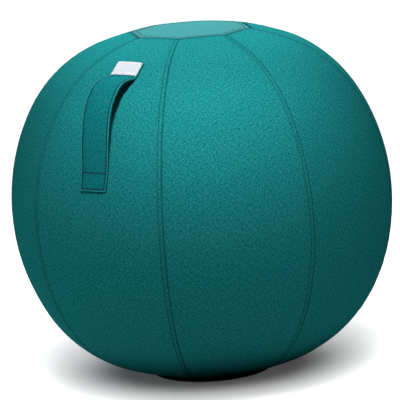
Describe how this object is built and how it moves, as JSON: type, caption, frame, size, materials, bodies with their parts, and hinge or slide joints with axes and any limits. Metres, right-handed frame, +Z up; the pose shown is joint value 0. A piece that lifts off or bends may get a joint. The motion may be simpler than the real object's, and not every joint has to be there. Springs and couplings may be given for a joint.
{
  "type": "sitting ball",
  "caption": "Cloth-covered inflatable sitting ball with sewn gores, octagonal top, carrying handle, rear zip and a floor ring that stops it from rolling.",
  "frame": {"origin": "on the floor under the ball's axis, at the middle of the floor ring", "axes": "+Z up; the gore with the handle faces -Y; +X to the right seen from the handle side"},
  "size_m": [0.6386, 0.6386, 0.5876],
  "materials": {
    "cover_cloth": "felted teal melange upholstery cloth",
    "base_cloth": "the same teal cloth",
    "ring_cloth": "dark woven cloth",
    "ring_filling": "dark flexible filling",
    "handle_cloth": "doubled teal cloth, sewn",
    "label": "pale woven ribbon, blank",
    "zip_tape": "dark teal woven tape",
    "zip_chain": "dark moulded coil",
    "zip_metal": "dark lacquered zinc",
    "bladder": "grey elastic film",
    "valve_seat": "soft grey moulding",
    "valve_plug": "white moulding"
  },
  "bodies": {
    "ball": {"gore_panel_1": "cover_cloth", "gore_panel_2": "cover_cloth", "gore_panel_3": "cover_cloth", "gore_panel_4": "cover_cloth", "gore_panel_5": "cover_cloth", "gore_panel_6": "cover_cloth", "gore_panel_7": "cover_cloth", "gore_panel_8": "cover_cloth", "top_panel": "cover_cloth", "base_panel": "base_cloth", "ring_sleeve": "ring_cloth", "ring_core": "ring_filling", "handle_strap": "handle_cloth", "label": "label", "zip_tape_left": "zip_tape", "zip_tape_right": "zip_tape", "zip_chain_left": "zip_chain", "zip_chain_right": "zip_chain", "zip_stop_upper": "zip_metal", "zip_stop_lower": "zip_metal", "air_bladder": "bladder", "valve_seat": "valve_seat", "valve_plug": "valve_plug"},
    "slider": {"zip_slider": "zip_metal"},
    "puller": {"zip_puller": "zip_metal"}
  },
  "joints": [
    {"name": "zip_travel", "type": "hinge", "parent": "ball", "child": "slider", "pos_m": [0.00804, -0.0194, 0.29639], "axis": [0.9239, 0.3827, 0], "range_deg": [0, 49]},
    {"name": "puller_swing", "type": "hinge", "parent": "slider", "child": "puller", "pos_m": [-0.11274, 0.27219, 0.14928], "axis": [0.9239, 0.3827, 0], "range_deg": [-20, 150]}
  ]
}
